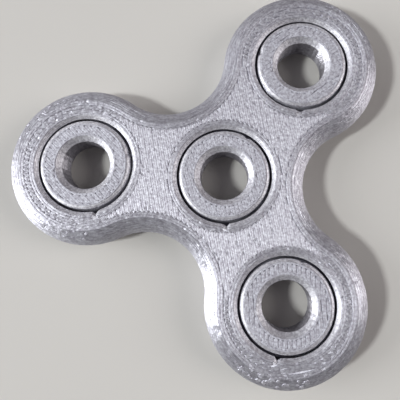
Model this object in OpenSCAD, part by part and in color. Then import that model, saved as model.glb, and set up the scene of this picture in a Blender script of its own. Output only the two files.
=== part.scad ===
// Three-lobed fidget spinner, printed in place: one frame with four captive, freely turning hubs.
// Millimetres. The origin is the middle of the centre hub's bore at mid-thickness, +Z is the spin
// axis. One lobe points along -X; the other two point 60 degrees either side of +X.

/* [Overall] */

// Distance from the centre of the spinner to the centre of each lobe
hub_pitch = 26; // [25.5:0.5:31]

// Thickness of the frame and of the hubs
thickness = 7.2; // [7:0.2:10]

/* [Frame] */

// Radius of each lobe's outer edge
lobe_r = 14.9; // [14.2:0.1:16.5]

// Radius of the rounding along the top and bottom outer edges
edge_r = 3.4; // [1:0.1:3.4]

/* [Hubs] */

// Radius of the finger bore through each hub
bore_r = 4.5; // [3:0.1:5.5]

// Width and depth of the 45 degree funnel at each end of the bore
funnel = 1.1; // [0.4:0.1:1.4]

// Radius of a hub at its lips
hub_r = 8.35; // [8:0.05:8.8]

// Width and depth of the 45 degree chamfer around a seat, and width of the shallower one around a hub
rim_chamfer = 0.8; // [0.3:0.1:1]

// How far the side of a hub swells out at mid-thickness, which keeps it in the frame
hub_bulge = 1.1; // [0.7:0.1:1.4]

/* [Running gap] */

// Radial gap between a hub and its seat
running_gap = 0.4; // [0.2:0.05:0.6]

/* [Hidden] */

// Facets on the round faces
$fn = 144;

// Overlap that makes the cuts run clear of the surfaces
eps = 1;

half_t = thickness / 2;

// Lobe centres and valley centres alternate on the corners of a regular hexagon, so each valley's
// rounding just touches the lobes on both sides of it.
lobe_angles = [180, 300, 60];
valley_angles = [0, 120, 240];
lobe_arc = 240;
valley_r = hub_pitch - lobe_r;

// The chamfer around a hub is half as deep as it is wide
hub_ease = rim_chamfer / 2;

// Seat of a hub: radius at its lips, and at the bottom of its groove
seat_r = hub_r + running_gap;
groove_r = hub_r + hub_bulge + running_gap;

frame_colour = [0.70, 0.72, 0.76];
hub_colour = [0.74, 0.76, 0.80];

function coarse(v) = floor(v * 1000) / 1000;

// Place something on the hexagon's corner in the given direction. The move is made in a coarse
// and a fine step, so that faces which touch there meet exactly.
module at_corner(angle) {
    x = hub_pitch * cos(angle);
    y = hub_pitch * sin(angle);
    translate([coarse(x), coarse(y), 0])
        translate([x - coarse(x), y - coarse(y), 0]) children();
}

// Half section of a lobe: flat faces with rounded outer edges
module lobe_section() {
    union() {
        translate([0, -half_t]) square([lobe_r - edge_r, thickness]);
        translate([0, edge_r - half_t]) square([lobe_r, thickness - 2 * edge_r]);
        for (side = [-1, 1])
            intersection() {
                translate([lobe_r - edge_r, side * (half_t - edge_r)]) circle(edge_r);
                translate([0, -half_t]) square([lobe_r, thickness]);
            }
    }
}

// Half section of the space in a valley: it flares towards the top and the bottom face
module valley_section() {
    difference() {
        translate([0, -half_t - eps]) square([valley_r + edge_r, thickness + 2 * eps]);
        translate([valley_r, edge_r - half_t]) square([edge_r + eps, thickness - 2 * edge_r]);
        for (side = [-1, 1])
            translate([valley_r + edge_r, side * (half_t - edge_r)]) circle(edge_r);
    }
}

// Outer part of the lobe in the given direction
module lobe_shell(angle) {
    at_corner(angle)
        rotate_extrude(angle = lobe_arc, start = angle - lobe_arc / 2) lobe_section();
}

// Flat hexagonal web between the lobe centres, with the three valleys cut out of it
module web() {
    difference() {
        translate([0, 0, -half_t]) cylinder(r = hub_pitch, h = thickness, $fn = 6);
        for (angle = valley_angles) at_corner(angle) rotate_extrude() valley_section();
    }
}

// Space for a hub: a grooved hole whose two lips are narrower than the hub's waist
module hub_seat() {
    rotate_extrude()
        polygon([
            [0, -half_t - eps],
            [seat_r + rim_chamfer + eps, -half_t - eps],
            [seat_r, rim_chamfer - half_t],
            [groove_r, 0],
            [seat_r, half_t - rim_chamfer],
            [seat_r + rim_chamfer + eps, half_t + eps],
            [0, half_t + eps]
        ]);
}

// One hub ring with its finger bore
module hub() {
    rotate_extrude()
        polygon([
            [bore_r, funnel - half_t],
            [bore_r + funnel, -half_t],
            [hub_r - rim_chamfer, -half_t],
            [hub_r, hub_ease - half_t],
            [hub_r, rim_chamfer - half_t],
            [hub_r + hub_bulge, 0],
            [hub_r, half_t - rim_chamfer],
            [hub_r, half_t - hub_ease],
            [hub_r - rim_chamfer, half_t],
            [bore_r + funnel, half_t],
            [bore_r, half_t - funnel]
        ]);
}

// The frame: three lobes and the web, with four seats cut through it
module spinner_frame() {
    color(frame_colour)
        difference() {
            union() {
                web();
                for (angle = lobe_angles) lobe_shell(angle);
            }
            hub_seat();
            for (angle = lobe_angles) at_corner(angle) hub_seat();
        }
}

// The hub that is held between finger and thumb
module centre_hub() {
    color(hub_colour) hub();
}

// The hubs in the three lobes
module lobe_hub_1() {
    color(hub_colour) at_corner(lobe_angles[0]) hub();
}

module lobe_hub_2() {
    color(hub_colour) at_corner(lobe_angles[1]) hub();
}

module lobe_hub_3() {
    color(hub_colour) at_corner(lobe_angles[2]) hub();
}

spinner_frame();
centre_hub();
lobe_hub_1();
lobe_hub_2();
lobe_hub_3();
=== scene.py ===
"""Looks of the printed fidget spinner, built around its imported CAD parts. Runs in Blender 4.5.

The print's own structure is modelled: stacked layers on every slope, the two perimeter beads and the
zigzag infill beads on the flat faces, faceted bores, seams and small blobs. Lengths are millimetres
until mesh_piece() turns them into metres.
"""

from math import asin, cos, hypot, pi, radians, sin, sqrt

import bpy
import numpy as np
from mathutils import Matrix, Vector
from mathutils.geometry import delaunay_2d_cdt


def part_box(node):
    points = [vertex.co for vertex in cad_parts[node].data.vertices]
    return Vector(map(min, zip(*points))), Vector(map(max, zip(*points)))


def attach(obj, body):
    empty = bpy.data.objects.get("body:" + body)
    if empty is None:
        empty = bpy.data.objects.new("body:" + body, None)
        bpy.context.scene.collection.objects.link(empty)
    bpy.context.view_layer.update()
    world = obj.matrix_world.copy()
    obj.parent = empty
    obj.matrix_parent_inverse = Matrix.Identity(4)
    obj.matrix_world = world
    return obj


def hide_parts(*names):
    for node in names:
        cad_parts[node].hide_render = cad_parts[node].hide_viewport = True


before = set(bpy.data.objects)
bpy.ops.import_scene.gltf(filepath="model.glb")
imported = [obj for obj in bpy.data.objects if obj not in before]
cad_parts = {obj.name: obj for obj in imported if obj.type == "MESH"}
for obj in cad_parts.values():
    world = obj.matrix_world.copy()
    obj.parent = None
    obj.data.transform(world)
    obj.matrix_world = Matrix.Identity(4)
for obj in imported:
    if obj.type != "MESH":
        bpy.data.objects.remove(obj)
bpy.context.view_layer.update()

MM = 0.001


def box_mm(node):
    """Lowest and highest corner of a CAD node, in millimetres."""
    low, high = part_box(node)
    return np.array(low) / MM, np.array(high) / MM


def hub_centre(node):
    """The middle of a hub, seen from above."""
    low, high = box_mm(node)
    return (low[:2] + high[:2]) / 2


# Sizes that the CAD parts have
LOBE_HUBS = ("lobe_hub_1", "lobe_hub_2", "lobe_hub_3")
CENTRES = {node: hub_centre(node) for node in ("centre_hub",) + LOBE_HUBS}
HALF_T = box_mm("centre_hub")[1][2]
PITCH = hypot(*CENTRES["lobe_hub_1"])
LOBE_R = -box_mm("spinner_frame")[0][0] - PITCH
EDGE_R = 3.4
BORE_R = 4.5
FUNNEL = 1.1
HUB_R = 8.35
CHAMFER = 0.8
HUB_EASE = 0.4
BULGE = 1.1

# A seat's radius at its lips, 0.04 mm more than the CAD part's, so that the gap looks as dark and wide
# as it should
SEAT_R = 8.79

# How far a hub's side and its seat bow apart between the waist and the lips. At 1 they are straight, as
# in the CAD parts; above 1 the hub's side is hollow and the seat's groove is rounder.
BOW = 1.6

# Layers: their height, how far a layer's rounded edge stands out, and how far it leans with the slope
LAYER = 0.2
NOSE = 0.05
LEAN = 0.75

# Edge of one layer from its foot to its head: share of the way to the head, depth in noses, height in
# layers
LAYER_SECTION = ((0.0, 1.0, -0.15), (0.3, 0.0, 0.3), (0.7, 0.2, 0.7), (1.0, 1.4, 1.0))

# Beads of the flat faces: widths, distance between infill lines, how far those draw together in pairs,
# and how far short of the perimeter they turn round
BEAD_W = 0.45
HUB_BEAD_W = 0.36
HUB_INFILL_W = 0.48
INFILL_PITCH = 0.40
PAIRING = 0.02
TURN = 0.20

# The top and bottom layers are beads, and the bodies under them end at this height. Their last ring
# lies this much deeper than the layer's edge.
BASE_Z = HALF_T - LAYER
SHELF = 0.1

# Points on each lobe's arc and each valley's, points on each ring of a seat or hub, and flats in a bore
LOBE_SEGMENTS = 134
VALLEY_SEGMENTS = 52
SEAT_SEGMENTS = 96
BORE_FACETS = 32

# Inside the running gap the seats and hubs are smooth: heights of their rings there, and the height at
# which their layers begin
SMOOTH_Z = (0.9, 1.8)
LAYERS_Z = 2.2

LOBE_ANGLES = (60, 180, 300)
VALLEY_ANGLES = (120, 240, 0)
VALLEY_R = PITCH - LOBE_R


# ---- Surface grain -----------------------------------------------------------------------------


def grain(rng, rows, columns, blur, row_blur=0):
    """Smooth closed random waves along each row, with a spread of 1. row_blur also makes neighbouring
    rows alike."""
    wave = rng.standard_normal((rows, columns))
    for axis, times in ((1, blur), (0, row_blur)):
        for _ in range(times):
            wave = (np.roll(wave, 1, axis) + 2 * wave + np.roll(wave, -1, axis)) / 4
    return wave / wave.std()


# ---- Mesh pieces -------------------------------------------------------------------------------


class Shape:
    """Vertices in millimetres and faces, gathered before they become one mesh. Each face corner also
    has a pair of numbers in grain, so that the material knows which way the plastic was laid. paint
    holds the faces that don't have the piece's first material."""

    def __init__(self):
        self.vertices = []
        self.faces = []
        self.grain = []
        self.paint = {}

    def grid(self, rows, closed_rows=False, laid_along_rows=True):
        """Quads between neighbouring closed rings of equal length. Returns the first vertex's number.
        The plastic was laid along each ring, or else from ring to ring."""
        start = len(self.vertices)
        count, size = len(rows), len(rows[0])
        for row in rows:
            self.vertices.extend(map(tuple, row))
        for r in range(count if closed_rows else count - 1):
            a, b = start + r * size, start + ((r + 1) % count) * size
            for i in range(size):
                j = (i + 1) % size
                self.faces.append((a + i, a + j, b + j, b + i))
                if laid_along_rows:
                    self.grain.append(((r, i), (r, i + 1), (r + 1, i + 1), (r + 1, i)))
                else:
                    self.grain.append(((i, r), (i + 1, r), (i + 1, r + 1), (i, r + 1)))
        return start

    def face(self, corners):
        self.faces.append(tuple(corners))
        self.grain.append(tuple(self.vertices[c][:2] for c in corners))

    def paint_ring(self, first_face, row, number):
        """Gives the faces between two neighbouring rings of a seat or hub another material."""
        for face in range(row * SEAT_SEGMENTS, (row + 1) * SEAT_SEGMENTS):
            self.paint[first_face + face] = number


def mesh_piece(name, shape, materials, body):
    """A flat-shaded mesh object that rides on a body and takes its finish from a slot."""
    mesh = bpy.data.meshes.new(name)
    mesh.from_pydata((np.array(shape.vertices) * MM).tolist(), [], shape.faces)
    laid = mesh.uv_layers.new(name="laid")
    laid.data.foreach_set("uv", [x for face in shape.grain for corner in face for x in corner])
    for material in materials:
        mesh.materials.append(material)
    for face, number in shape.paint.items():
        mesh.polygons[face].material_index = number
    piece = bpy.data.objects.new(name, mesh)
    bpy.context.scene.collection.objects.link(piece)
    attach(piece, body)
    return piece


# ---- Outline of the frame ----------------------------------------------------------------------


def arc(centre, radius, start, stop, count):
    """Points of an arc without its last one, and their directions from the centre."""
    angles = np.radians(np.linspace(start, stop, count, endpoint=False))
    directions = np.column_stack([np.cos(angles), np.sin(angles)])
    return centre + radius * directions, directions


def hexagon_corner(angle):
    """Lobes and valleys have their centres on the corners of one hexagon."""
    return PITCH * np.array([cos(radians(angle)), sin(radians(angle))])


def frame_outline():
    """The widest outline, counter-clockwise, and the outward direction at each of its points."""
    points, outward = [], []
    for lobe, valley in zip(LOBE_ANGLES, VALLEY_ANGLES):
        on_lobe, away = arc(hexagon_corner(lobe), LOBE_R, lobe - 120, lobe + 120, LOBE_SEGMENTS)
        points.append(on_lobe)
        outward.append(away)
        start = valley - 120
        in_valley, away = arc(hexagon_corner(valley), VALLEY_R, start, start - 120, VALLEY_SEGMENTS)
        points.append(in_valley)
        outward.append(-away)
    return np.vstack(points), np.vstack(outward)


OUTLINE, OUTWARD = frame_outline()


def in_web(points):
    """Which points lie in the hexagon between the lobe centres and the valley centres."""
    apothem = PITCH * cos(pi / 6)
    feet = [apothem * np.array([cos(a), sin(a)]) for a in np.radians(range(30, 390, 60))]
    return np.all([points @ foot <= foot @ foot for foot in feet], axis=0)


def outline_depth(points):
    """How far inside the widest outline each point lies."""
    to_valley = np.min([np.hypot(*(points - hexagon_corner(a)).T) for a in VALLEY_ANGLES], axis=0)
    to_lobe = np.min([np.hypot(*(points - hexagon_corner(a)).T) for a in LOBE_ANGLES], axis=0)
    return np.where(in_web(points), to_valley - VALLEY_R, LOBE_R - to_lobe)


def edge_inset(z):
    """How far the rounded edge has drawn in at height z."""
    over = max(0.0, abs(z) - (HALF_T - EDGE_R))
    return EDGE_R - sqrt(EDGE_R**2 - over**2)


TOP_INSET = edge_inset(HALF_T - LAYER / 2)


# ---- Layered profiles --------------------------------------------------------------------------


def layer_rows(offset_at, bottom, top):
    """Profile of a stack of layers from bottom to top, as (offset, z), where offset grows into the
    plastic. Each layer is a rounded nose that leans with the slope."""
    rows = []
    for k in range(round((top - bottom) / LAYER)):
        low = bottom + k * LAYER
        middle = offset_at(low + LAYER / 2)
        foot = middle + LEAN * (offset_at(low) - middle)
        head = middle + LEAN * (offset_at(low + LAYER) - middle)
        for share, depth, height in LAYER_SECTION:
            rows.append((foot + share * (head - foot) + depth * NOSE, low + height * LAYER))
    return rows


def mirrored(rows):
    """The profile's lower half, in order from the bottom up."""
    return [(offset, -z) for offset, z in reversed(rows)]


def rim_profile():
    """The frame's outer edge, from the lower flat to the upper flat."""
    upper = layer_rows(edge_inset, 0, BASE_Z)
    upper.append((TOP_INSET + SHELF, BASE_Z))
    return mirrored(upper) + upper


def seat_offset(z):
    """Radius of a seat at height z."""
    lip = HALF_T - CHAMFER
    if abs(z) > lip:
        return SEAT_R + abs(z) - lip
    return SEAT_R + BULGE * (1 - (abs(z) / lip) ** BOW)


def seat_profile():
    """A seat from the lower flat to the upper flat: layered lips and a smooth groove between."""
    upper = [(seat_offset(z), z) for z in (0.0, *SMOOTH_Z)]
    upper += layer_rows(seat_offset, LAYERS_Z, BASE_Z)
    upper.append((seat_offset(HALF_T - LAYER / 2) + SHELF, BASE_Z))
    return mirrored(upper)[:-1] + upper


# ---- Beads on the flat faces -------------------------------------------------------------------

# Half of a bead's section: share of its width from the middle, share of its height
HALF_SECTION = ((0.40, 0.0), (0.50, 0.50), (0.455, 0.86), (0.25, 0.98))
SECTION = [(-x, y) for x, y in HALF_SECTION] + [(0.0, 1.0)] + [(x, y) for x, y in reversed(HALF_SECTION)]

# How unevenly a bead is laid: how far it wanders and dips, and by what share its width varies
WANDER = 0.012
DIP = 0.02
SWELL = 0.07

# Share of a bead's points that are thin spots, and the width and height that are left there
THIN_SPOTS = 0.015
THIN_WIDTH = 0.7
THIN_HEIGHT = 0.45

# Width and height that are left at a bead's ends
END_SIZE = 0.75

# Distance between a bead's points, in a perimeter and in infill
PERIMETER_STEP = 0.4
INFILL_STEP = 0.36

# How much lower the infill lies than the perimeters
INFILL_SINK = 0.01

# Infill lines reach this far from the middle. Each is tested at this step, stretches under this length
# are left out, and neighbouring lines join where their ends differ by less than the longest turn.
REACH = 48
TEST_STEP = 0.03
SHORTEST_LINE = 0.3
LONGEST_TURN = 1.2


def resample(points, step):
    """Evenly spaced points around a closed loop."""
    points = np.vstack([points, points[:1]])
    lengths = np.hypot(*np.diff(points, axis=0).T)
    along = np.concatenate([[0], np.cumsum(lengths)])
    marks = np.linspace(0, along[-1], round(along[-1] / step), endpoint=False)
    return np.column_stack([np.interp(marks, along, points[:, i]) for i in (0, 1)])


def subdivide(points, step):
    """The polyline with extra points, so that none of its stretches is much longer than step."""
    dense = []
    for a, b in zip(points, points[1:]):
        count = max(1, round(hypot(*(b - a)) / step))
        dense += [a + (b - a) * i / count for i in range(count)]
    return dense + [points[-1]]


def bead(shape, rng, path, width, side, sink=0.0):
    """Sweeps a bead along an open path on a flat face: side is 1 on the top face and -1 underneath, and
    sink lowers the bead a little."""
    path = np.asarray(path, float)
    count = len(path)
    tangent = np.gradient(path, axis=0)
    tangent /= np.maximum(np.hypot(*tangent.T), 1e-9)[:, None]
    normal = np.column_stack([-tangent[:, 1], tangent[:, 0]])
    wander, swell, dip = grain(rng, 3, count, 1)
    path = path + WANDER * wander[:, None] * normal
    thin = rng.random(count) < THIN_SPOTS
    wide = width * (1 + SWELL * swell) * np.where(thin, THIN_WIDTH, 1)
    high = (LAYER - sink - DIP * np.abs(dip)) * np.where(thin, THIN_HEIGHT, 1)
    for end in (0, -1):
        wide[end] *= END_SIZE
        high[end] *= END_SIZE
    rows = []
    for i in range(count):
        across = [path[i] + x * wide[i] * normal[i] for x, _ in SECTION]
        heights = [side * (BASE_Z + y * high[i]) for _, y in SECTION]
        rows.append([(*place, z) for place, z in zip(across, heights)])
    if side > 0:
        rows = [row[::-1] for row in rows]
    start = shape.grid(rows, laid_along_rows=False)
    size = len(SECTION)
    last = start + (count - 1) * size
    shape.face(range(start + size - 1, start - 1, -1))
    shape.face(range(last, last + size))


def loop_bead(shape, rng, points, width, side, seam, gap):
    """A bead around a loop, with a gap of that length at a share of the way round."""
    points = resample(points, PERIMETER_STEP)
    count = len(points)
    first = round(seam * count)
    skip = round(gap / PERIMETER_STEP)
    order = [(first + skip // 2 + i) % count for i in range(count - skip)]
    bead(shape, rng, points[order], width, side)


def inside_runs(inside, direction, offset):
    """Stretches of one infill line that lie inside the region."""
    marks = np.arange(-REACH, REACH, TEST_STEP)
    along = np.array([cos(direction), sin(direction)])
    across = np.array([-sin(direction), cos(direction)])
    flags = inside(offset * across + marks[:, None] * along)
    edges = np.flatnonzero(np.diff(np.concatenate([[0], flags.astype(int), [0]])))
    return [
        (marks[a], marks[b - 1])
        for a, b in zip(edges[::2], edges[1::2])
        if marks[b - 1] - marks[a] > SHORTEST_LINE
    ]


def infill_paths(inside, degrees, pairing):
    """Zigzag paths that fill a region: neighbouring lines join at alternate ends, and the two lines of
    each pair lie closer together by twice the pairing."""
    direction = radians(degrees)
    along = np.array([cos(direction), sin(direction)])
    across = np.array([-sin(direction), cos(direction)])
    open_chains, chains = [], []
    for k, offset in enumerate(np.arange(-REACH, REACH, INFILL_PITCH)):
        offset += pairing if k % 2 == 0 else -pairing
        still_open = []
        for low, high in inside_runs(inside, direction, offset):
            ends = (low, high) if k % 2 == 0 else (high, low)
            line = [offset * across + t * along for t in ends]
            match = next((c for c in open_chains if c[1] < high and low < c[2]), None)
            if match is not None and abs(match[3] - ends[0]) < LONGEST_TURN:
                open_chains = [c for c in open_chains if c is not match]
                chain = match[0]
                turn = (chain[-1] + line[0]) / 2
                heading = along if k % 2 else -along
                chain[-1] = chain[-1] - TURN * heading
                line[0] = line[0] - TURN * heading
                chain.extend([turn, *line])
            else:
                chain = line
                chains.append(chain)
            still_open.append((chain, low, high, ends[1]))
        open_chains = still_open
    return chains


def infill(shape, rng, inside, degrees, width, side, pairing=PAIRING):
    """Fills a region of a flat face with zigzag beads."""
    for path in infill_paths(inside, degrees, pairing):
        bead(shape, rng, subdivide(path, INFILL_STEP), width, side, INFILL_SINK)


# ---- Frame -------------------------------------------------------------------------------------

# Direction from each hub's centre to the seam of its seat
SEAMS = {"centre_hub": -83, "lobe_hub_1": -71, "lobe_hub_2": -97, "lobe_hub_3": -88}

# The seam's notch in a seat: depth, width in degrees, and the height above which it shows
SEAT_NOTCH = (0.6, 2.6)
SEAT_NOTCH_Z = 0.5

# Roughness of the frame's edge: point by point, layer by layer, and in wide patches on its slopes
FINE_ROUGH = 0.010
LAYER_ROUGH = 0.020
SLOPE_ROUGH = 0.07

# Roughness of the seats and of the hubs' sides
SEAT_ROUGH = 0.01

# Directions of the infill lines in the middle of the frame. In the lobes they run across these.
TOP_INFILL = 105
BED_INFILL = 15

# Clearance between the frame's perimeters and its infill, where the seam of the outline's perimeters
# is as a share of the way round, and the gaps that the beads leave at their seams
INFILL_CLEARANCE = 0.16
OUTER_SEAM = 0.62
SEAM_GAP = 0.4
LIP_SEAM_GAP = 0.8


def notch(angles, seam, depth, width):
    """A dent of that depth and angular width at the seam."""
    away = (np.degrees(angles) - seam + 180) % 360 - 180
    return depth * np.exp(-((away / width) ** 2))


def ring_points(centre, radii, angles, z):
    """A ring of points around a centre, at one height."""
    x = centre[0] + radii * np.cos(angles)
    y = centre[1] + radii * np.sin(angles)
    return np.column_stack([x, y, np.full(len(angles), z)])


def add_rim(shape, rng):
    """The frame's layered outer edge. Returns its lowest and highest ring, as vertex numbers."""
    profile = rim_profile()
    count = len(OUTLINE)
    wobble = grain(rng, len(profile), count, 2)
    ripple = grain(rng, len(profile) // 4 + 1, count, 2)
    patch = grain(rng, len(profile), count, 4, 14)
    rings = []
    for i, (offset, z) in enumerate(profile):
        inset = np.full(count, offset)
        if 0 < i < len(profile) - 1:
            inset += FINE_ROUGH * np.abs(wobble[i]) + LAYER_ROUGH * np.abs(ripple[(i + 2) // 4])
            inset += SLOPE_ROUGH * (z / HALF_T) ** 2 * np.abs(patch[i])
        xy = OUTLINE - inset[:, None] * OUTWARD
        rings.append(np.column_stack([xy, np.full(count, z)]))
    start = shape.grid(rings)
    last = start + (len(rings) - 1) * count
    return range(start, start + count), range(last, last + count)


def add_seat(shape, rng, node):
    """One seat, with its chamfers in the second material, whose lighter tones are painted light. Returns
    its lowest and highest ring, as vertex numbers."""
    angles = np.linspace(0, 2 * pi, SEAT_SEGMENTS, endpoint=False)
    rows = seat_profile()
    wobble = grain(rng, len(rows), SEAT_SEGMENTS, 1)
    rings = []
    for i, (radius, z) in enumerate(rows):
        radii = radius + SEAT_ROUGH * np.abs(wobble[i])
        if z > SEAT_NOTCH_Z:
            radii = radii + notch(angles, SEAMS[node], *SEAT_NOTCH)
        rings.append(ring_points(CENTRES[node], radii, angles, z)[::-1])
    first_face = len(shape.faces)
    start = shape.grid(rings)
    # The chamfers take the lips' lighter tones: painted light
    for row, (below, above) in enumerate(zip(rows, rows[1:])):
        if min(abs(below[1]), abs(above[1])) > HALF_T - CHAMFER - LAYER / 2:
            shape.paint_ring(first_face, row, 1)
    last = start + (len(rings) - 1) * SEAT_SEGMENTS
    return range(start, start + SEAT_SEGMENTS), range(last, last + SEAT_SEGMENTS)


def frame_body(rng):
    """The frame's closed body: its layered rim, its four seats and the floors under the beads."""
    shape = Shape()
    loops = [add_rim(shape, rng)] + [add_seat(shape, rng, node) for node in CENTRES]
    lower, upper = zip(*loops)
    fill_flat(shape, upper, turned=False)
    fill_flat(shape, lower, turned=True)
    return shape


def inside_loop(point, loop):
    """Whether a point lies inside a closed loop of points."""
    (x1, y1), (x2, y2) = loop.T, np.roll(loop, -1, axis=0).T
    spans = (y1 > point[1]) != (y2 > point[1])
    rise = np.where(spans, y2 - y1, 1)
    right_of_point = x1 + (point[1] - y1) * (x2 - x1) / rise > point[0]
    return np.count_nonzero(spans & right_of_point) % 2 == 1


def fill_flat(shape, loops, turned):
    """Triangles between the outline and the four seats, on the vertices that are already there."""
    numbers = [n for loop in loops for n in loop]
    owners = [k for k, loop in enumerate(loops) for _ in loop]
    flat = [Vector(shape.vertices[n][:2]) for n in numbers]
    edges, start = [], 0
    for loop in loops:
        edges += [(start + i, start + (i + 1) % len(loop)) for i in range(len(loop))]
        start += len(loop)
    _, _, triangles, origins, _, _ = delaunay_2d_cdt(flat, edges, [], 1, 1e-6)
    for triangle in triangles:
        corners = [origins[i][0] for i in triangle]
        owner = owners[corners[0]]
        in_seat = False
        if owner > 0 and all(owners[c] == owner for c in corners):
            seat = np.array([shape.vertices[n][:2] for n in loops[owner]])
            in_seat = inside_loop(np.mean([flat[c] for c in corners], axis=0), seat)
        if not in_seat:
            face = tuple(numbers[c] for c in corners)
            shape.face(face[::-1] if turned else face)


def in_frame_infill(points):
    """Where the frame's flat face is filled with infill: inside its perimeters, outside its seats."""
    clear = outline_depth(points) > TOP_INSET + 2 * BEAD_W + INFILL_CLEARANCE
    for centre in CENTRES.values():
        clear &= np.hypot(*(points - centre).T) > SEAT_R + CHAMFER + 2 * BEAD_W
    return clear


def in_web_infill(points):
    """The infill's part in the middle of the frame."""
    return in_frame_infill(points) & in_web(points)


def in_lobe_infill(points):
    """The infill's parts in the lobes."""
    return in_frame_infill(points) & ~in_web(points)


def circle(centre, radius, start):
    """Points around a circle from a start direction, in degrees."""
    angles = np.radians(np.linspace(start, start + 360, 180, endpoint=False))
    return centre + radius * np.column_stack([np.cos(angles), np.sin(angles)])


def frame_skin(rng, side, degrees):
    """Perimeters and infill of one flat face of the frame."""
    shape = Shape()
    for k in range(2):
        inset = TOP_INSET + (k + 0.5) * BEAD_W
        loop_bead(shape, rng, OUTLINE - inset * OUTWARD, BEAD_W, side, OUTER_SEAM, SEAM_GAP)
    lip = SEAT_R + CHAMFER - LAYER / 2
    for node, centre in CENTRES.items():
        for k, gap in enumerate((LIP_SEAM_GAP, SEAM_GAP)):
            ring = circle(centre, lip + (k + 0.5) * BEAD_W, SEAMS[node])
            loop_bead(shape, rng, ring, BEAD_W, side, 0.0, gap)
    infill(shape, rng, in_web_infill, degrees, BEAD_W, side)
    infill(shape, rng, in_lobe_infill, degrees - 90, BEAD_W, side)
    return shape


# ---- Hubs --------------------------------------------------------------------------------------

# Direction of the seam on each hub's side, and of each hub's infill
HUB_SEAMS = {"centre_hub": 64, "lobe_hub_1": 20, "lobe_hub_2": 75, "lobe_hub_3": 168}
HUB_INFILL = {"centre_hub": 110, "lobe_hub_1": 140, "lobe_hub_2": 97, "lobe_hub_3": 40}

# How far the infill lines of each hub draw together in pairs
HUB_PAIRING = {"centre_hub": 0.035, "lobe_hub_1": 0.03, "lobe_hub_2": 0.055, "lobe_hub_3": 0.035}

# The seam's dent in a hub's side: depth, width in degrees, and the height above which it shows
HUB_DENT = (0.3, 3.0)
HUB_DENT_Z = 2.0

# Direction of the seams on the hubs' faces
FACE_SEAM = 200

# Each hub lies this far off its seat's middle, within the running gap
PLAY = np.array([-0.02, 0.03])


def bore_offset(z):
    """Radius of the finger bore at height z."""
    return BORE_R + max(0.0, abs(z) - (HALF_T - FUNNEL))


def hub_side(z):
    """Depth of the hub's side at height z, measured inwards from its waist."""
    over = max(0.0, abs(z) - (HALF_T - HUB_EASE))
    below_lip = max(0.0, 1 - abs(z) / (HALF_T - CHAMFER))
    return BULGE * (1 - below_lip**BOW) + over * CHAMFER / HUB_EASE


def bore_profile():
    """A finger bore with its funnels, as (radius, z) from the lower flat to the upper flat."""
    upper = layer_rows(bore_offset, 0, BASE_Z)
    upper.append((bore_offset(HALF_T - LAYER / 2) + SHELF, BASE_Z))
    return mirrored(upper) + upper


def side_profile():
    """A hub's side, as (depth, z) from the lower flat to the upper flat."""
    upper = [(hub_side(z), z) for z in (0.0, *SMOOTH_Z)]
    upper += layer_rows(hub_side, LAYERS_Z, BASE_Z)
    upper.append((hub_side(HALF_T - LAYER / 2) + SHELF, BASE_Z))
    return mirrored(upper)[:-1] + upper


def hub_body(rng, node):
    """A hub's closed body: up its faceted bore and down its side. The funnels and chamfers have the
    second material, lighter with painted light, and the bore's straight wall has the third, darker with
    painted shade."""
    centre = CENTRES[node] + PLAY
    shape = Shape()
    angles = np.linspace(0, 2 * pi, SEAT_SEGMENTS, endpoint=False)
    half_facet = pi / BORE_FACETS
    facet = cos(half_facet) / np.cos(angles % (2 * half_facet) - half_facet)
    bore = bore_profile()
    side = side_profile()[::-1]
    wobble = grain(rng, len(bore) + len(side), SEAT_SEGMENTS, 1)[len(bore) :]
    dent = notch(angles, HUB_SEAMS[node], *HUB_DENT)
    rings = [ring_points(centre, radius * facet, angles, z) for radius, z in bore]
    for (depth, z), rough in zip(side, wobble):
        radii = HUB_R + BULGE - depth - SEAT_ROUGH * np.abs(rough)
        if z > HUB_DENT_Z:
            radii = radii - dent
        rings.append(ring_points(centre, radii, angles, z))
    shape.grid([ring[::-1] for ring in rings], closed_rows=True)
    # The funnels take the lips' lighter tones, painted light; the straight bore wall takes darker tones,
    # painted shade
    for row, (below, above) in enumerate(zip(bore, bore[1:])):
        straight = max(abs(below[1]), abs(above[1])) < HALF_T - FUNNEL + LAYER / 2
        shape.paint_ring(0, row, 2 if straight else 1)
    # The hub's chamfers take the lips' lighter tones: painted light
    for row, (above, below) in enumerate(zip(side, side[1:])):
        if min(abs(below[1]), abs(above[1])) > HALF_T - HUB_EASE - LAYER / 2:
            shape.paint_ring(0, len(bore) + row, 1)
    return shape


def hub_skin(rng, node, side):
    """Perimeters and infill of one flat face of a hub."""
    centre = CENTRES[node] + PLAY
    shape = Shape()
    inner = bore_offset(HALF_T - LAYER / 2) + HUB_BEAD_W / 2
    outer = HUB_R - CHAMFER * (1 - LAYER / 2 / HUB_EASE) - HUB_BEAD_W / 2
    for radius in (inner, outer):
        loop_bead(shape, rng, circle(centre, radius, FACE_SEAM), HUB_BEAD_W, side, 0.0, SEAM_GAP)

    def inside(points):
        r = np.hypot(*(points - centre).T)
        return (r > inner + HUB_BEAD_W / 2) & (r < outer - HUB_BEAD_W / 2)

    degrees = HUB_INFILL[node] + (0 if side > 0 else 90)
    infill(shape, rng, inside, degrees, HUB_INFILL_W, side, HUB_PAIRING[node])
    return shape


# ---- Blobs -------------------------------------------------------------------------------------

BLOB_CORNERS = 9

# Height of a blob's rings, as angles up from its middle
BLOB_TILTS = (-0.9, -0.35, 0.35, 0.9)

# Blobs on the slopes: their distances from a lobe's centre, and how deep their middles lie
BLOB_REACH = (11.8, 13.9)
BLOB_SINK = 0.08

# The blob beside each seam: degrees from the seam, distance from the hub's centre, depth, size, height
SEAM_BLOB = (5, 9.45, 0.25, 0.1, 0.06)

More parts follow.
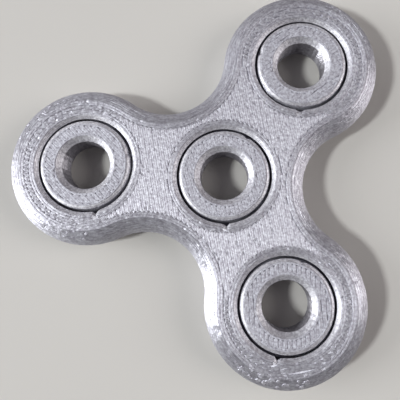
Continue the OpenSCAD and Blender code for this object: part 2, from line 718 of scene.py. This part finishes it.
# Lobe, first and last direction from its centre, number of blobs there, their size and height
BLOB_PATCHES = (
    ("lobe_hub_2", 228, 290, 40, 0.35, 0.15),
    ("lobe_hub_1", 105, 165, 20, 0.35, 0.13),
    ("lobe_hub_1", 240, 285, 16, 0.30, 0.10),
    ("lobe_hub_3", 18, 72, 60, 0.20, 0.12),
)


def blob(shape, rng, place, direction, lean, size, height):
    """A small irregular lump of plastic on a surface that leans towards a direction. It is flat where
    it would stand above the top face."""
    outward = np.array([cos(direction), sin(direction), 0])
    sideways = np.array([-sin(direction), cos(direction), 0])
    up = np.array([0, 0, 1])
    normal = sin(lean) * outward + cos(lean) * up
    downhill = cos(lean) * outward - sin(lean) * up
    angles = np.linspace(0, 2 * pi, BLOB_CORNERS, endpoint=False)
    spread = 1 + 0.25 * rng.standard_normal(BLOB_CORNERS)
    rings = []
    for tilt in BLOB_TILTS:
        r = size * cos(tilt) * spread
        flat = np.outer(r * np.cos(angles), downhill) + np.outer(r * np.sin(angles), sideways)
        ring = place + flat + height * sin(tilt) * normal
        ring[:, 2] = np.minimum(ring[:, 2], HALF_T)
        rings.append(ring)
    start = shape.grid(rings)
    shape.face(range(start + BLOB_CORNERS - 1, start - 1, -1))
    last = start + (len(rings) - 1) * BLOB_CORNERS
    shape.face(range(last, last + BLOB_CORNERS))


def frame_blobs(rng):
    """Smeared blobs on the lobes' slopes, and a small one beside each seam."""
    shape = Shape()
    for node, start, stop, count, size, height in BLOB_PATCHES:
        for _ in range(count):
            angle = radians(rng.uniform(start, stop))
            radius = rng.uniform(*BLOB_REACH)
            lean = asin((radius - LOBE_R + EDGE_R) / EDGE_R)
            z = HALF_T - EDGE_R + EDGE_R * cos(lean)
            place = CENTRES[node] + radius * np.array([cos(angle), sin(angle)])
            varied = size * rng.uniform(0.6, 1.4)
            blob(shape, rng, (*place, z - BLOB_SINK), angle, lean, varied, height)
    away, radius, depth, size, height = SEAM_BLOB
    for node, centre in CENTRES.items():
        angle = radians(SEAMS[node] - away)
        place = centre + radius * np.array([cos(angle), sin(angle)])
        blob(shape, rng, (*place, HALF_T - depth), angle, 0, size, height)
    return shape


# ---- Materials ---------------------------------------------------------------------------------


# Silk filament: its shine, and the spread of its roughness above the least
METALLIC = 0.75
SPECULAR = 0.6
SHEEN_SPREAD = 0.26

# Where the flecks turn from dark to light, as a share of their noise
FLECK_STOPS = (0.40, 0.63)

# Noise cells per metre of the flecks, the roughness and the cloudy bump
FLECK_CELLS = 2200
SHEEN_CELLS = 900
CLOUD_CELLS = 1100

# Drawn-out noise: cells per step across and along the laid plastic, and cells per metre of drift
DRAWN_STEPS = (0.4, 0.3, 0)
DRAWN_DRIFT = 300

# Strength and depth in metres of the two bumps
CLOUD_BUMP = (0.6, 0.0001)
FIBRE_BUMP = (0.7, 0.00004)


def silk_plastic(name, dark, light, seed, streak, satin, fibre):
    """Silver silk filament: a satin metallic plastic with cloudy tone, fine flecks and fine grain.
    streak is how far its sheen is drawn out across the way it was laid, satin its least roughness, and
    fibre the share of its flecks that are drawn out along the way it was laid."""
    material = bpy.data.materials.new(name)
    material.use_nodes = True
    nodes, links = material.node_tree.nodes, material.node_tree.links
    shader = nodes["Principled BSDF"]
    shader.inputs["Metallic"].default_value = METALLIC
    shader.inputs["Specular IOR Level"].default_value = SPECULAR

    shader.inputs["Anisotropic"].default_value = streak
    across = nodes.new("ShaderNodeTangent")
    across.direction_type = "UV_MAP"
    across.uv_map = "laid"
    links.new(across.outputs["Tangent"], shader.inputs["Tangent"])

    place = nodes.new("ShaderNodeTexCoord")
    shift = nodes.new("ShaderNodeMapping")
    shift.inputs["Location"].default_value = (seed * 0.013, seed * 0.007, 0)
    links.new(place.outputs["Object"], shift.inputs["Vector"])

    laid = nodes.new("ShaderNodeUVMap")
    laid.uv_map = "laid"
    drift = nodes.new("ShaderNodeVectorMath")
    drift.operation = "SCALE"
    drift.inputs["Scale"].default_value = DRAWN_DRIFT
    links.new(shift.outputs["Vector"], drift.inputs[0])
    drawn = nodes.new("ShaderNodeVectorMath")
    drawn.operation = "MULTIPLY_ADD"
    drawn.inputs[1].default_value = DRAWN_STEPS
    links.new(laid.outputs["UV"], drawn.inputs[0])
    links.new(drift.outputs["Vector"], drawn.inputs[2])

    def noise(along, scale, detail, rough=0.6):
        node = nodes.new("ShaderNodeTexNoise")
        node.inputs["Scale"].default_value = scale
        node.inputs["Detail"].default_value = detail
        node.inputs["Roughness"].default_value = rough
        links.new(along.outputs["Vector"], node.inputs["Vector"])
        return node.outputs["Fac"]

    def bump(height, strength, depth):
        node = nodes.new("ShaderNodeBump")
        node.inputs["Strength"].default_value = strength
        node.inputs["Distance"].default_value = depth
        links.new(height, node.inputs["Height"])
        return node

    flecks = nodes.new("ShaderNodeValToRGB")
    for element, stop, tone in zip(flecks.color_ramp.elements, FLECK_STOPS, (dark, light)):
        element.position = stop
        element.color = (*tone, 1)
    blend = nodes.new("ShaderNodeMix")
    blend.inputs["Factor"].default_value = fibre
    links.new(noise(shift, FLECK_CELLS, 3), blend.inputs["A"])
    links.new(noise(drawn, 1, 3), blend.inputs["B"])
    links.new(blend.outputs["Result"], flecks.inputs["Fac"])
    links.new(flecks.outputs["Color"], shader.inputs["Base Color"])

    sheen = nodes.new("ShaderNodeMapRange")
    sheen.inputs["To Min"].default_value = satin
    sheen.inputs["To Max"].default_value = satin + SHEEN_SPREAD
    links.new(noise(shift, SHEEN_CELLS, 4), sheen.inputs["Value"])
    links.new(sheen.outputs["Result"], shader.inputs["Roughness"])

    cloud = bump(noise(shift, CLOUD_CELLS, 2, 0.5), *CLOUD_BUMP)
    fine = bump(noise(drawn, 2, 3), *FIBRE_BUMP)
    links.new(cloud.outputs["Normal"], fine.inputs["Normal"])
    links.new(fine.outputs["Normal"], shader.inputs["Normal"])
    return material


def floor_material():
    """A plain pale table."""
    material = bpy.data.materials.new("pale_floor")
    material.use_nodes = True
    shader = material.node_tree.nodes["Principled BSDF"]
    shader.inputs["Base Color"].default_value = (0.65, 0.635, 0.595, 1)
    shader.inputs["Roughness"].default_value = 0.75
    return material


# ---- Stage -------------------------------------------------------------------------------------


def make_floor():
    """The table that the spinner lies on."""
    z = -HALF_T * MM
    reach = 2.0
    mesh = bpy.data.meshes.new("floor")
    corners = [(x * reach, y * reach, z) for x, y in ((-1, -1), (1, -1), (1, 1), (-1, 1))]
    mesh.from_pydata(corners, [], [(0, 1, 2, 3)])
    mesh.materials.append(floor_material())
    floor = bpy.data.objects.new("floor", mesh)
    bpy.context.scene.collection.objects.link(floor)


# Name, azimuth, elevation, energy, spread and colour of each light
SUNS = (
    ("key", 200, 44, 1.75, 7, (0.96, 0.985, 1.0)),
    ("window", 187, 19, 1.7, 34, (0.96, 0.975, 1.0)),
    ("side", 148, 33, 0.4, 45, (0.94, 0.96, 1.0)),
    ("fill", 8, 33, 1.2, 36, (1.0, 0.96, 0.96)),
)

# The surround's light: its mean level, and how much brighter it is towards +X, +Y and +Z
SKY_LEVEL = 0.11
SKY_SLOPE = (-0.01, 0.07, -0.03)

# The camera's place in millimetres, its turns about X, Y and Z in degrees, and its focal length
CAMERA_PLACE = (1.787, -13.156, 87.56)
CAMERA_TURNS = (-8.357, -1.013, -4.650)
FOCAL_LENGTH = 41.63


def add_sun(name, azimuth, elevation, energy, spread, colour):
    """A soft light from far away. Azimuth 0 is +X and 90 is +Y."""
    light = bpy.data.lights.new(name, "SUN")
    light.energy = energy
    light.angle = radians(spread)
    light.color = colour
    lamp = bpy.data.objects.new(name, light)
    a, e = radians(azimuth), radians(elevation)
    towards_light = Vector((cos(a) * cos(e), sin(a) * cos(e), sin(e)))
    lamp.rotation_euler = towards_light.to_track_quat("Z", "Y").to_euler()
    bpy.context.scene.collection.objects.link(lamp)


def make_light():
    """A key, a low window and a weak side light from the left, a wide fill from the right, and a dim
    surround that is brighter towards +Y."""
    bpy.context.scene.view_settings.view_transform = "Standard"
    world = bpy.data.worlds.new("studio")
    bpy.context.scene.world = world
    world.use_nodes = True
    nodes, links = world.node_tree.nodes, world.node_tree.links
    nodes["Background"].inputs["Color"].default_value = (1.0, 0.90, 1.0, 1)
    direction = nodes.new("ShaderNodeTexCoord")
    slope = nodes.new("ShaderNodeVectorMath")
    slope.operation = "DOT_PRODUCT"
    slope.inputs[1].default_value = SKY_SLOPE
    level = nodes.new("ShaderNodeMath")
    level.operation = "ADD"
    level.inputs[1].default_value = SKY_LEVEL
    links.new(direction.outputs["Generated"], slope.inputs[0])
    links.new(slope.outputs["Value"], level.inputs[0])
    links.new(level.outputs["Value"], nodes["Background"].inputs["Strength"])
    for sun in SUNS:
        add_sun(*sun)


def make_camera():
    """A camera almost straight above the spinner."""
    data = bpy.data.cameras.new("camera")
    data.lens = FOCAL_LENGTH
    data.sensor_width = 36
    data.shift_x = -0.05
    data.shift_y = -0.05
    data.clip_start = 0.002
    data.clip_end = 10
    camera = bpy.data.objects.new("camera", data)
    about_x, about_y, about_z = (
        Matrix.Rotation(radians(turn), 3, axis) for turn, axis in zip(CAMERA_TURNS, "XYZ")
    )
    turned = (about_x @ about_y @ about_z).transposed().to_4x4()
    camera.matrix_world = Matrix.Translation(Vector(CAMERA_PLACE) * MM) @ turned
    bpy.context.scene.collection.objects.link(camera)
    bpy.context.scene.camera = camera


# ---- Build -------------------------------------------------------------------------------------


# Dark and light colour of the flecks in each finish
PLAIN = ((0.46, 0.445, 0.50), (0.80, 0.81, 0.86))
# Lighter tones of the same plastic for the chamfers and funnels: painted light on these slopes
PAINTED_LIGHT_TONES = ((0.56, 0.55, 0.59), (0.93, 0.93, 0.96))
# Darker tones of the same plastic for the bores' straight walls: painted shade inside the bores
PAINTED_SHADE_TONES = ((0.26, 0.25, 0.28), (0.55, 0.54, 0.57))
EVEN = ((0.49, 0.48, 0.53), (0.73, 0.74, 0.79))

SEED = 7


def build():
    """Every visible piece, each on the body that it moves with."""
    frame_plastic = silk_plastic("silver_silk_frame", *PLAIN, seed=1, streak=0.8, satin=0.34, fibre=0.6)
    frame_face = silk_plastic("silver_silk_frame_face", *PLAIN, seed=3, streak=0.45, satin=0.46, fibre=0.3)
    hub_plastic = silk_plastic("silver_silk_hub", *PLAIN, seed=2, streak=0.8, satin=0.24, fibre=0.6)
    # The lips' material: painted light, lighter tones on the chamfers and funnels
    lip_painted_light = silk_plastic("silver_silk_lip_painted_light", *PAINTED_LIGHT_TONES, seed=6, streak=0.3, satin=0.42, fibre=0.3)
    # The bores' material: painted shade, darker tones on the bores' walls
    bore_painted_shade = silk_plastic("silver_silk_bore_painted_shade", *PAINTED_SHADE_TONES, seed=5, streak=0.8, satin=0.22, fibre=0.5)
    hub_face = silk_plastic("silver_silk_hub_face", *EVEN, seed=4, streak=0.1, satin=0.62, fibre=0.0)
    frame_materials = (frame_plastic, lip_painted_light)
    hub_materials = (hub_plastic, lip_painted_light, bore_painted_shade)
    rng = np.random.default_rng(SEED)

    body = mesh_piece("frame_body", frame_body(rng), frame_materials, "frame")
    for name, side, degrees in (("top", 1, TOP_INFILL), ("bed", -1, BED_INFILL)):
        skin = frame_skin(rng, side, degrees)
        mesh_piece("frame_" + name + "_skin", skin, (frame_face,), "frame")
    mesh_piece("frame_blobs", frame_blobs(rng), (frame_face,), "frame")
    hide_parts("spinner_frame")

    for node in CENTRES:
        hub = mesh_piece(node + "_body", hub_body(rng, node), hub_materials, node)
        for name, side in (("top", 1), ("bed", -1)):
            skin = hub_skin(rng, node, side)
            mesh_piece(node + "_" + name + "_skin", skin, (hub_face,), node)
        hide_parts(node)


build()
make_floor()
make_light()
make_camera()
